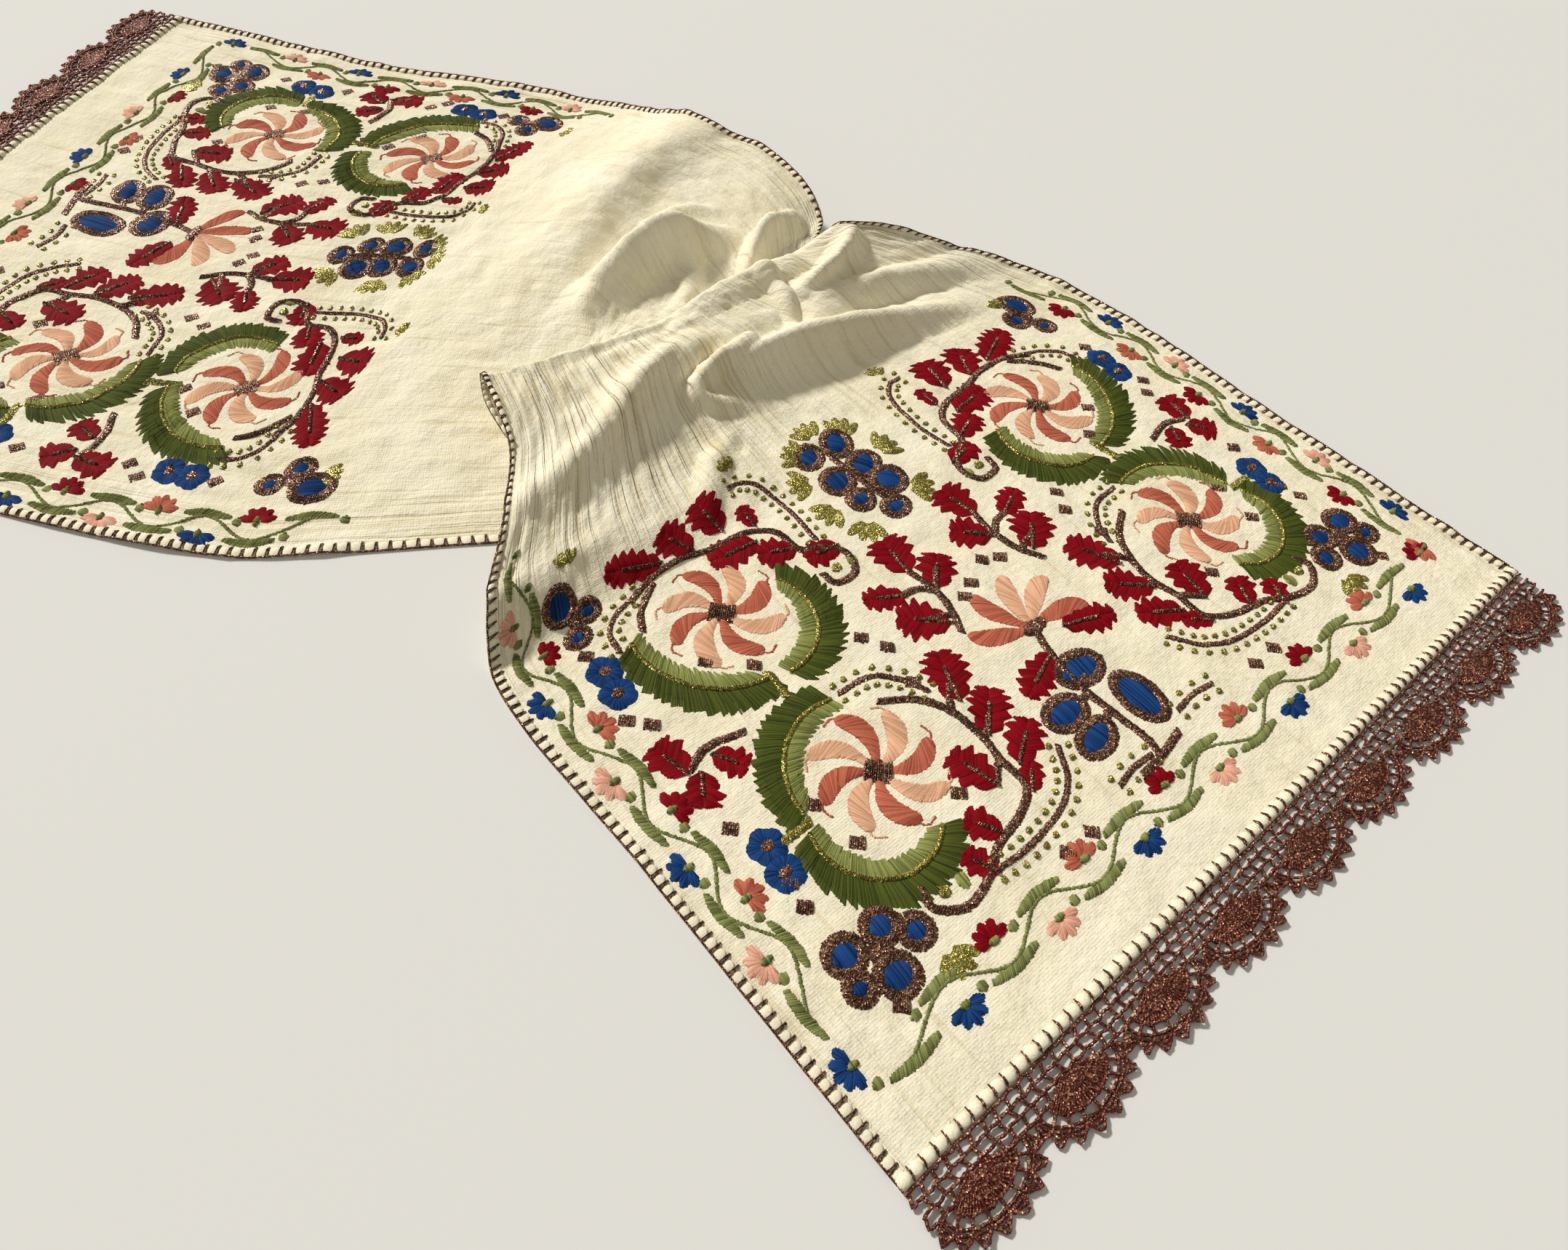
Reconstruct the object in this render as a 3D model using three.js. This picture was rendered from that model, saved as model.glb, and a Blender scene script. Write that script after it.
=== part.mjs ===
// Embroidered table runner: one length of crinkled cotton that lies on a table, pushed together
// and turned at its middle so that it stands up in cross folds, with a crocheted edging at each end.
// Millimetres, +Z up, +X towards the near end. The table is the plane z = 0.
import * as THREE from "three";

// Driving sizes
const CLOTH_LENGTH = 1040;
const CLOTH_THICKNESS = 1;
const EDGING_THICKNESS = 1.6;
const EDGING_BAND = 15;
const EDGING_DEPTH = 31;
const EDGING_SCALLOPS = 9;
const SCALLOP_HALF_SHARE = 0.42;
const SCALLOP_FACETS = 6;
const SEWING_GAP = 0.4;
const ACROSS_STEPS = 32;

// The cloth's sections, one row each, from the near hem to the far hem. "along" is the length of
// cloth from the near hem. The section curves through a point on the left edge (l), one in the
// middle (m) and one on the right edge (r). Heights are those of the underside.
const SECTION_COLUMNS = ["along", "lx", "ly", "lz", "mx", "my", "mz", "rx", "ry", "rz"];
const SECTIONS = [
  [0, 276, -282, 0, 344.5, -67.5, 0, 413, 147, 0],
  [150, 131, -237, 0, 199.5, -25, 0, 268, 187, 0],
  [262, 26, -203, 0, 92, 8, 0, 158, 217, 0],
  [305, 4, -178, 18, 52, 21, 0, 114, 222, 1],
  [340, -14, -148, 18, 25, 27, 4, 80, 215, 4],
  [368, -30, -124, 18, 6, 30, 9, 56, 204, 7],
  [396, -46, -104, 21, -12, 33, 17, 36, 192, 13],
  [424, -67, -89, 26, -28, 34, 17, 12, 174, 22],
  [450, -84, -79, 26.5, -38, 35, 12, -5, 155, 26],
  [476, -76, -86, 22, -46, 37, 10, -17, 146, 12],
  [502, -52, -96, 17, -57, 38, 9, -22, 160, 14],
  [530, -22, -103, 14, -71, 40, 9, -42, 175, 23],
  [558, 6, -108, 10.5, -85, 40, 8, -68, 185, 27],
  [584, 20, -110, 5.5, -98, 38, 7, -92, 190, 28],
  [614, 0, -124, 0, -116, 31, 7, -121, 187, 28],
  [655, -36, -154, 0, -142, 19, 7, -158, 193, 20],
  [700, -76, -189, 0, -176, 5, 4, -200, 201, 8],
  [750, -119, -223, 0, -206, -12, 0, -246, 196, 0],
  [890, -250, -274, 0, -318, -68, 0, -386, 138, 0],
  [CLOTH_LENGTH, -397, -322, 0, -462.5, -112.5, 0, -528, 97, 0],
];

// Single folds that stand on those sections, one row each. A fold runs through its start (a),
// middle (b) and end (c) points, with a height at each, and spreads to "reach" on both sides.
// It lies in the cloth between two lengths from the near hem, fades out over a share of that run
// at both ends, and "lean" is how far it tips along X where it stands LEAN_HEIGHT tall.
const FOLD_COLUMNS = [
  "from", "to", "ax", "ay", "ah", "bx", "by", "bh", "cx", "cy", "ch", "reach", "lean",
];
const FOLDS = [
  [262, 424, -34, 30, 7, -18, -45, 8, -16, -150, 3, 22, 5],
  [396, 470, -80, -66, 0, -68, -25, 7, -53, 20, 10, 14, -3],
  [396, 480, -40, 32, 5, -32, 66, 12, -14, 104, 7, 16, 0],
  [240, 396, 6, 16, 8, 34, 78, 12, 88, 170, 2, 20, -2],
  [280, 424, 18, 84, 8, 34, 130, 12, 72, 206, 0, 14, -2],
  [372, 460, 4, 92, 6, 9, 116, 11, 4, 148, 6, 12, 4],
  [470, 560, -28, 92, 9, -40, 118, 11, -36, 146, 6, 12, 0],
  [510, 650, -88, -5, 3, -83, 66, 21, -48, 106, 16, 22, -4],
  [584, 740, -118, 0, 2, -139, 97, 9, -137, 190, 4, 42, 0],
];
const FOLD_SAMPLES = 24;
const FOLD_FADE = 0.25;
const LEAN_HEIGHT = 20;

// Lengths of cloth between the rows of facets: [from, to, rows]. The folded middle is the finest,
// and rows end on the crest at 450 and on the hidden valley at 584.
const FACET_ROWS = [
  [0, 262, 5],
  [262, 450, 21],
  [450, 584, 16],
  [584, 700, 13],
  [700, CLOTH_LENGTH, 6],
];

const named = (columns, row) => Object.fromEntries(columns.map((name, i) => [name, row[i]]));
const smoothstep = (low, high, x) => THREE.MathUtils.smoothstep(x, low, high);

// A smooth curve through the rows of one column that never swings past them.
function columnCurve(rows, column) {
  const x = rows.map((row) => row.along);
  const y = rows.map((row) => row[column]);
  const slope = x.slice(1).map((_, i) => (y[i + 1] - y[i]) / (x[i + 1] - x[i]));
  const tangent = x.map((_, i) => {
    if (i === 0) return slope[0];
    if (i === x.length - 1) return slope[i - 1];
    if (slope[i - 1] * slope[i] <= 0) return 0;
    return (2 * slope[i - 1] * slope[i]) / (slope[i - 1] + slope[i]);
  });
  return (at) => {
    let i = 0;
    while (i < x.length - 2 && at > x[i + 1]) i += 1;
    const span = x[i + 1] - x[i];
    const u = (at - x[i]) / span;
    const blend = u * u * (3 - 2 * u);
    const bend = span * (tangent[i] * u * (1 - u) ** 2 - tangent[i + 1] * u * u * (1 - u));
    return y[i] + (y[i + 1] - y[i]) * blend + bend;
  };
}

// The value at u, from 0 to 1, of the parabola through a, b and c.
const parabola = (a, b, c, u) =>
  a * (2 * u - 1) * (u - 1) + b * 4 * u * (1 - u) + c * u * (2 * u - 1);

const sections = SECTIONS.map((row) => named(SECTION_COLUMNS, row));
const curve = Object.fromEntries(
  SECTION_COLUMNS.slice(1).map((column) => [column, columnCurve(sections, column)]),
);

const folds = FOLDS.map((row) => {
  const fold = named(FOLD_COLUMNS, row);
  fold.spine = Array.from({ length: FOLD_SAMPLES + 1 }, (_, i) => {
    const u = i / FOLD_SAMPLES;
    return {
      x: parabola(fold.ax, fold.bx, fold.cx, u),
      y: parabola(fold.ay, fold.by, fold.cy, u),
      height: Math.max(0, parabola(fold.ah, fold.bh, fold.ch, u)),
    };
  });
  return fold;
});

// How much of a fold's height stands at a point of the cloth.
function foldRise(fold, length, x, y) {
  const fade = FOLD_FADE * (fold.to - fold.from);
  const rising = smoothstep(fold.from, fold.from + fade, length);
  const falling = smoothstep(fold.to - fade, fold.to, length);
  const inside = rising * (1 - falling);
  if (inside === 0) return 0;
  let nearest = Infinity;
  let height = 0;
  for (let i = 0; i < FOLD_SAMPLES; i += 1) {
    const [a, b] = [fold.spine[i], fold.spine[i + 1]];
    const [runX, runY] = [b.x - a.x, b.y - a.y];
    const along = ((x - a.x) * runX + (y - a.y) * runY) / (runX * runX + runY * runY);
    const share = THREE.MathUtils.clamp(along, 0, 1);
    const away = Math.hypot(x - a.x - share * runX, y - a.y - share * runY);
    if (away < nearest) {
      nearest = away;
      height = a.height + share * (b.height - a.height);
    }
  }
  const swell = Math.max(0, 1 - (nearest / fold.reach) ** 2);
  return inside * height * swell * swell;
}

// The cloth's underside at a length from the near hem and a share, 0 to 1, of the width from the left.
function underside(along, across) {
  const at = (l, m, r) => parabola(curve[l](along), curve[m](along), curve[r](along), across);
  const point = new THREE.Vector3(at("lx", "mx", "rx"), at("ly", "my", "ry"), at("lz", "mz", "rz"));
  const { x, y } = point;
  for (const fold of folds) {
    const rise = foldRise(fold, along, x, y);
    point.z += rise;
    point.x += (fold.lean * rise) / LEAN_HEIGHT;
  }
  point.z = Math.max(0, point.z);
  return point;
}

// The cloth's upward direction there, from two short steps along and across it.
function upward(along, across) {
  const STEP_ALONG = 2;
  const STEP_ACROSS = 0.005;
  const clampAlong = (v) => THREE.MathUtils.clamp(v, 0, CLOTH_LENGTH);
  const clampAcross = (v) => THREE.MathUtils.clamp(v, 0, 1);
  const lengthways = underside(clampAlong(along + STEP_ALONG), across).sub(
    underside(clampAlong(along - STEP_ALONG), across),
  );
  const crossways = underside(along, clampAcross(across + STEP_ACROSS)).sub(
    underside(along, clampAcross(across - STEP_ACROSS)),
  );
  return crossways.cross(lengthways).normalize();
}

// A closed skin over a grid of points: rows of undersides, the tops above them, and the four rims.
function sheetGeometry(stations) {
  const columns = ACROSS_STEPS + 1;
  const bottom = [];
  const top = [];
  for (const along of stations) {
    for (let j = 0; j < columns; j += 1) {
      const across = j / ACROSS_STEPS;
      const under = underside(along, across);
      bottom.push(under);
      top.push(under.clone().addScaledVector(upward(along, across), CLOTH_THICKNESS));
    }
  }
  const count = bottom.length;
  const positions = [...bottom, ...top].flatMap((point) => point.toArray());
  const index = [];
  const quad = (a, b, c, d) => index.push(a, b, c, a, c, d);
  const at = (i, j) => i * columns + j;
  const last = stations.length - 1;
  for (let i = 0; i < last; i += 1) {
    for (let j = 0; j < ACROSS_STEPS; j += 1) {
      quad(at(i, j), at(i + 1, j), at(i + 1, j + 1), at(i, j + 1));
      quad(count + at(i, j), count + at(i, j + 1), count + at(i + 1, j + 1), count + at(i + 1, j));
    }
    quad(at(i, 0), count + at(i, 0), count + at(i + 1, 0), at(i + 1, 0));
    const [near, far] = [at(i, ACROSS_STEPS), at(i + 1, ACROSS_STEPS)];
    quad(far, count + far, count + near, near);
  }
  for (let j = 0; j < ACROSS_STEPS; j += 1) {
    quad(at(0, j + 1), count + at(0, j + 1), count + at(0, j), at(0, j));
    quad(at(last, j), count + at(last, j), count + at(last, j + 1), at(last, j + 1));
  }
  const geometry = new THREE.BufferGeometry();
  geometry.setAttribute("position", new THREE.Float32BufferAttribute(positions, 3));
  geometry.setIndex(index);
  geometry.computeVertexNormals();
  return geometry;
}

function facetStations() {
  const stations = [0];
  for (const [from, to, rows] of FACET_ROWS) {
    for (let i = 1; i <= rows; i += 1) {
      stations.push(from + ((to - from) * i) / rows);
    }
  }
  return stations;
}

// A flat crocheted strip along a hem of this length, with round scallops on its outer side (-Y).
function edgingGeometry(length) {
  const pitch = length / EDGING_SCALLOPS;
  const scallopRise = EDGING_DEPTH - EDGING_BAND;
  const halfChord = SCALLOP_HALF_SHARE * pitch;
  const radius = (halfChord ** 2 + scallopRise ** 2) / (2 * scallopRise);
  const sink = radius - scallopRise;
  const half = Math.atan2(halfChord, sink);
  const down = -Math.PI / 2;
  const outline = new THREE.Shape();
  outline.moveTo(length, 0);
  outline.lineTo(0, 0);
  outline.lineTo(0, -EDGING_BAND);
  for (let i = 0; i < EDGING_SCALLOPS; i += 1) {
    const middle = (i + 0.5) * pitch;
    outline.lineTo(middle - halfChord, -EDGING_BAND);
    outline.absarc(middle, sink - EDGING_BAND, radius, down - half, down + half, false);
  }
  outline.lineTo(length, -EDGING_BAND);
  outline.closePath();
  return new THREE.ExtrudeGeometry(outline, {
    depth: EDGING_THICKNESS,
    bevelEnabled: false,
    curveSegments: SCALLOP_FACETS,
  });
}

const cotton = new THREE.MeshStandardMaterial({ color: 0xefe6c8, roughness: 0.9, metalness: 0 });
const bronzeThread = new THREE.MeshStandardMaterial({ color: 0x6b3420, roughness: 0.55, metalness: 0.25 });

// An edging sewn to the hem that runs from one corner of the cloth to another, outward on its right.
function edging(name, from, to) {
  const hem = to.clone().sub(from);
  const mesh = new THREE.Mesh(edgingGeometry(hem.length()), bronzeThread);
  mesh.name = name;
  const turn = Math.atan2(hem.y, hem.x);
  mesh.rotation.z = turn;
  mesh.position.set(from.x + SEWING_GAP * Math.sin(turn), from.y - SEWING_GAP * Math.cos(turn), 0);
  return mesh;
}

const runner = new THREE.Group();

const cloth = new THREE.Mesh(sheetGeometry(facetStations()), cotton);
cloth.name = "cloth";
runner.add(cloth);
runner.add(edging("edging_near", underside(0, 0), underside(0, 1)));
runner.add(edging("edging_far", underside(CLOTH_LENGTH, 1), underside(CLOTH_LENGTH, 0)));

// The origin is on the table, under the middle of the runner's box.
const extent = new THREE.Box3().setFromObject(runner);
runner.position.set(-(extent.min.x + extent.max.x) / 2, -(extent.min.y + extent.max.y) / 2, 0);

export default runner;
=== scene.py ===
# Embroidered table runner: a fine crinkled sheet on the frame's folds, stitched motifs at both ends,
# blanket-stitched sides and a crocheted edging on each hem. The making sizes are millimetres.
import math

import bmesh
import bpy
import numpy as np
from mathutils import Matrix, Vector


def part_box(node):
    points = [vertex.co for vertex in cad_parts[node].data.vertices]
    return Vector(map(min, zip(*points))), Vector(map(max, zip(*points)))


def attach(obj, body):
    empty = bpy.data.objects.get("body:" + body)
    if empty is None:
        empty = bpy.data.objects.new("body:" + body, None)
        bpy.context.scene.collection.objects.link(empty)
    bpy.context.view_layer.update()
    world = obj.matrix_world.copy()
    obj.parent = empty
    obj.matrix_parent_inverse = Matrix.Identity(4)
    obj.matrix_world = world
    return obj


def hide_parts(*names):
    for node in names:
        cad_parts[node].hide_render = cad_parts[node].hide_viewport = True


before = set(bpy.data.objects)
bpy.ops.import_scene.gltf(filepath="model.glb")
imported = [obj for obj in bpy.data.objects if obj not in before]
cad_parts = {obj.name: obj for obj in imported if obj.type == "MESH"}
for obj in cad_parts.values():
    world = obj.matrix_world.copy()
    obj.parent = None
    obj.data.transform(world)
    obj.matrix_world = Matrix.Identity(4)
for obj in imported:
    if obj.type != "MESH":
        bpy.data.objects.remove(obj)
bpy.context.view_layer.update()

# Driving sizes
MM = 0.001
CLOTH_LENGTH = 1040.0
CLOTH_WIDTH = 450.0
HALF_WIDTH = CLOTH_WIDTH / 2
CLOTH_LIFT = 0.6
PUCKER_LIFT = 0.7
FOLDS_BEGIN = 262.0
FOLDS_END = 700.0
LOWEST_CLOTH = 0.3
LOWEST_PUFF = 0.2
FLOSS_WIDTH = 1.15
FLOSS_PITCH = 0.72
METAL_WIDTH = 1.05
METAL_PITCH = 0.85
LEAF_STITCH_WIDTH = 1.6
STITCH_LIFT = 0.05
STITCH_SCATTER = 0.16
STEM_WIDTH = 3.8
HEM_PUFF = 6.0
SIDE_PITCH = 5.4
RIM_PITCH = 1.2
EDGING_DEPTH = 31.0
EDGING_SCALLOPS = 9
NET_ROWS = (1.1, 5.3, 9.6, 13.9)
NET_MESHES = 8
FAN_TEETH = 8
FAN_SPOKES = 27
CHAIN_STEP = 1.1
CROCHET_RADIUS = 0.66
CROCHET_HEIGHT = 1.35
rng = np.random.default_rng(11)

# The cloth's sections from the near hem to the far hem: along, then the left edge, the middle and the
# right edge as x, y, z of the underside. The frame's cloth is made from the same rows.
SECTIONS = np.array([
    [0, 276, -282, 0, 344.5, -67.5, 0, 413, 147, 0],
    [150, 131, -237, 0, 199.5, -25, 0, 268, 187, 0],
    [262, 26, -203, 0, 92, 8, 0, 158, 217, 0],
    [305, 4, -178, 18, 52, 21, 0, 114, 222, 1],
    [340, -14, -148, 18, 25, 27, 4, 80, 215, 4],
    [368, -30, -124, 18, 6, 30, 9, 56, 204, 7],
    [396, -46, -104, 21, -12, 33, 17, 36, 192, 13],
    [424, -67, -89, 26, -28, 34, 17, 12, 174, 22],
    [450, -84, -79, 26.5, -38, 35, 12, -5, 155, 26],
    [476, -76, -86, 22, -46, 37, 10, -17, 146, 12],
    [502, -52, -96, 17, -57, 38, 9, -22, 160, 14],
    [530, -22, -103, 14, -71, 40, 9, -42, 175, 23],
    [558, 6, -108, 10.5, -85, 40, 8, -68, 185, 27],
    [584, 20, -110, 5.5, -98, 38, 7, -92, 190, 28],
    [614, 0, -124, 0, -116, 31, 7, -121, 187, 28],
    [655, -36, -154, 0, -142, 19, 7, -158, 193, 20],
    [700, -76, -189, 0, -176, 5, 4, -200, 201, 8],
    [750, -119, -223, 0, -206, -12, 0, -246, 196, 0],
    [890, -250, -274, 0, -318, -68, 0, -386, 138, 0],
    [CLOTH_LENGTH, -397, -322, 0, -462.5, -112.5, 0, -528, 97, 0],
])

# Folds that stand on those sections: from, to, start (x, y, height), middle, end, reach, lean.
FOLDS = np.array([
    [262, 424, -34, 30, 7, -18, -45, 8, -16, -150, 3, 22, 5],
    [396, 470, -80, -66, 0, -68, -25, 7, -53, 20, 10, 14, -3],
    [396, 480, -40, 32, 5, -32, 66, 12, -14, 104, 7, 16, 0],
    [240, 396, 6, 16, 8, 34, 78, 12, 88, 170, 2, 20, -2],
    [280, 424, 18, 84, 8, 34, 130, 12, 72, 206, 0, 14, -2],
    [372, 460, 4, 92, 6, 9, 116, 11, 4, 148, 6, 12, 4],
    [470, 560, -28, 92, 9, -40, 118, 11, -36, 146, 6, 12, 0],
    [510, 650, -88, -5, 3, -83, 66, 21, -48, 106, 16, 22, -4],
    [584, 740, -118, 0, 2, -139, 97, 9, -137, 190, 4, 42, 0],
])

# Small creases between the folds, in the same columns.
CREASES = np.array([
    [262, 400, 4, 35, 9, 1, -10, 10, 26, 11, 1, 9, 0],
    [470, 570, -76, 88, 2, -56, 66, 5, -46, 40, 3, 10, 0],
    [540, 650, -104, 92, 3, -90, 116, 6, -66, 124, 3, 8, -2],
    [262, 424, -36, 30, 4, -20, -45, 5, -17, -130, 2, 9, 3],
    [240, 396, 10, 22, 4, 36, 80, 5, 80, 155, 1, 8, -2],
    [510, 650, -88, 10, 2, -83, 68, 5, -52, 106, 4, 9, -3],
    [240, 330, 22, -14, 3, 34, -40, 5, 50, -75, 1, 12, 0],
    [374, 458, 4, 96, 3, 8, 118, 6, 3, 148, 3, 6, 3],
    [474, 556, -28, 94, 3, -41, 120, 6, -37, 146, 3, 6, -3],
    [350, 470, -27, 88, 4, -4, 82, 7, 16, 66, 3, 7, 0],
    [400, 470, -84, -72, 0, -70, -25, 4, -54, 24, 6, 6, -3],
])
FOLD_SAMPLES = 24
LEAN_HEIGHT = 20

# The step from the rows' own origin to the frame's, by the cloth's lowest corner.
cloth_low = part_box("cloth")[0]
PLAN_SHIFT = np.array([
    cloth_low[0] / MM - SECTIONS[:, 7].min(),
    cloth_low[1] / MM - SECTIONS[:, 2].min(),
    0.0,
])


def column_curve(values, at):
    """A smooth curve through one column of the sections that never swings past their values."""
    along = SECTIONS[:, 0]
    slope = np.diff(values) / np.diff(along)
    before, after = slope[:-1], slope[1:]
    total = np.where(before + after == 0, 1, before + after)
    middle = np.where(before * after > 0, 2 * before * after / total, 0)
    tangent = np.concatenate([slope[:1], middle, slope[-1:]])
    i = np.clip(np.searchsorted(along, at, side="left") - 1, 0, len(along) - 2)
    span = along[i + 1] - along[i]
    u = (at - along[i]) / span
    blend = u * u * (3 - 2 * u)
    bend = span * (tangent[i] * u * (1 - u) ** 2 - tangent[i + 1] * u * u * (1 - u))
    return values[i] + (values[i + 1] - values[i]) * blend + bend


def parabola(a, b, c, u):
    return a * (2 * u - 1) * (u - 1) + b * 4 * u * (1 - u) + c * u * (2 * u - 1)


def smoothstep(low, high, x):
    u = np.clip((x - low) / (high - low), 0, 1)
    return u * u * (3 - 2 * u)


def fold_rise(fold, along, x, y):
    """How much of a fold's height stands at each point of the cloth."""
    begin, end, ax, ay, ah, bx, by, bh, cx, cy, ch, reach, _ = fold
    u = np.linspace(0, 1, FOLD_SAMPLES + 1)
    spine_x = parabola(ax, bx, cx, u)
    spine_y = parabola(ay, by, cy, u)
    spine_h = np.maximum(0, parabola(ah, bh, ch, u))
    fade = 0.25 * (end - begin)
    inside = smoothstep(begin, begin + fade, along) * (1 - smoothstep(end - fade, end, along))
    nearest = np.full(x.shape, np.inf)
    height = np.zeros(x.shape)
    for k in range(FOLD_SAMPLES):
        run_x = spine_x[k + 1] - spine_x[k]
        run_y = spine_y[k + 1] - spine_y[k]
        share = ((x - spine_x[k]) * run_x + (y - spine_y[k]) * run_y) / (run_x**2 + run_y**2)
        share = np.clip(share, 0, 1)
        away = np.hypot(x - spine_x[k] - share * run_x, y - spine_y[k] - share * run_y)
        closer = away < nearest
        nearest = np.where(closer, away, nearest)
        height = np.where(closer, spine_h[k] + share * (spine_h[k + 1] - spine_h[k]), height)
    swell = np.maximum(0, 1 - (nearest / reach) ** 2)
    return inside * height * swell * swell


def underside(along, across):
    """The cloth's underside at a length from the near hem and a distance right of the middle."""
    share = across / CLOTH_WIDTH + 0.5
    columns = [column_curve(SECTIONS[:, k], along) for k in range(1, 10)]
    place = np.stack([parabola(columns[k], columns[k + 3], columns[k + 6], share) for k in range(3)], -1)
    x, y = place[..., 0].copy(), place[..., 1].copy()
    for fold in np.concatenate([FOLDS, CREASES]):
        rise = fold_rise(fold, along, x, y)
        place[..., 2] += rise
        place[..., 0] += fold[12] * rise / LEAN_HEIGHT
    place[..., 2] = np.maximum(0, place[..., 2])
    return place + PLAN_SHIFT


def soft_noise(along, across, cell_along, cell_across, seed):
    """Smooth noise from -1 to 1 with long or short cells along and across the cloth."""
    rows = int(CLOTH_LENGTH / cell_along) + 3
    columns = int(CLOTH_WIDTH / cell_across) + 3
    lattice = np.random.default_rng(seed).uniform(-1, 1, (rows, columns))
    a = along / cell_along
    b = (across + HALF_WIDTH) / cell_across
    i = np.clip(a.astype(int), 0, rows - 2)
    j = np.clip(b.astype(int), 0, columns - 2)
    u = smoothstep(0, 1, a - i)
    v = smoothstep(0, 1, b - j)
    low = lattice[i, j] * (1 - v) + lattice[i, j + 1] * v
    high = lattice[i + 1, j] * (1 - v) + lattice[i + 1, j + 1] * v
    return low * (1 - u) + high * u


def crinkle_strength(along, across):
    """Strongest on the flap left of the middle, then in the folds and along the two sides."""
    flap = smoothstep(270, 340, along) * (1 - smoothstep(425, 450, along))
    flap = flap * (1 - smoothstep(-60, 40, across))
    folds = smoothstep(255, 330, along) * (1 - smoothstep(500, 620, along))
    edge = smoothstep(170, 222, np.abs(across))
    return 0.12 + 0.5 * edge + 0.38 * folds + 0.6 * flap


def furrow_depth(along, across):
    """0 in the narrow furrows that run along the cloth, 1 between them."""
    return np.abs(soft_noise(along, across, 120, 3.0, 1)) ** 0.8


def relief(along, across):
    """Crinkles along the length and soft puckers, above the plain folds."""
    furrow = 2 * furrow_depth(along, across) - 1
    crinkle = 0.6 * furrow + 0.35 * soft_noise(along, across, 60, 7.5, 2)
    pucker = 0.6 * soft_noise(along, across, 34, 34, 3) + 0.4 * soft_noise(along, across, 15, 17, 4)
    quilting = 0.65 * soft_noise(along, across, 10, 8, 5)
    return crinkle_strength(along, across) * crinkle + PUCKER_LIFT + pucker + quilting


def grid_normals(place):
    along = np.gradient(place, axis=0)
    across = np.gradient(place, axis=1)
    normal = np.cross(across, along)
    return normal / np.maximum(np.linalg.norm(normal, axis=-1, keepdims=True), 1e-9)


# The fine sheet: closer rows in the folded middle.
ROWS = np.concatenate([
    np.linspace(0, FOLDS_BEGIN, 62, endpoint=False),
    np.linspace(FOLDS_BEGIN, FOLDS_END, 200, endpoint=False),
    np.linspace(FOLDS_END, CLOTH_LENGTH, 71),
])
COLUMNS = np.linspace(-HALF_WIDTH, HALF_WIDTH, 281)
GRID_ALONG, GRID_ACROSS = np.meshgrid(ROWS, COLUMNS, indexing="ij")
folded = underside(GRID_ALONG, GRID_ACROSS)
raised = CLOTH_LIFT + relief(GRID_ALONG, GRID_ACROSS)
sheet_place = folded + grid_normals(folded) * raised[..., None]
sheet_place[..., 2] = np.maximum(sheet_place[..., 2], LOWEST_CLOTH)
sheet_normal = grid_normals(sheet_place)


def on_cloth(across, along, lift):
    """Points on the fine sheet, lifted off it by so much."""
    a = np.clip(np.interp(along, ROWS, np.arange(len(ROWS))), 0, len(ROWS) - 1.001)
    b = np.clip((across / CLOTH_WIDTH + 0.5) * (len(COLUMNS) - 1), 0, len(COLUMNS) - 1.001)
    i, j = a.astype(int), b.astype(int)
    u, v = (a - i)[..., None], (b - j)[..., None]

    def mix(grid):
        low = grid[i, j] * (1 - v) + grid[i, j + 1] * v
        high = grid[i + 1, j] * (1 - v) + grid[i + 1, j + 1] * v
        return low * (1 - u) + high * u

    return mix(sheet_place) + mix(sheet_normal) * np.asarray(lift)[..., None]


def finish_piece(name, mesh, material):
    mesh.materials.append(material)
    mesh.shade_smooth()
    piece = bpy.data.objects.new(name, mesh)
    bpy.context.scene.collection.objects.link(piece)
    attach(piece, "root")
    return piece


# Materials
def new_material(name):
    material = bpy.data.materials.new(name)
    material.use_nodes = True
    nodes = material.node_tree.nodes
    return material, nodes, material.node_tree.links, nodes["Principled BSDF"]


def add(nodes, kind, **values):
    """A node with its properties and unlinked inputs set by name."""
    node = nodes.new(kind)
    for key, value in values.items():
        label = key.replace("_", " ").title()
        if label in node.inputs:
            node.inputs[label].default_value = value
        else:
            setattr(node, key, value)
    return node


def ramp_between(nodes, links, factor, dark, light, low=0.0, high=1.0):
    ramp = nodes.new("ShaderNodeValToRGB")
    ramp.color_ramp.elements[0].position = low
    ramp.color_ramp.elements[1].position = high
    ramp.color_ramp.elements[0].color = (*dark, 1)
    ramp.color_ramp.elements[1].color = (*light, 1)
    links.new(factor, ramp.inputs["Fac"])
    return ramp.outputs["Color"]


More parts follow.
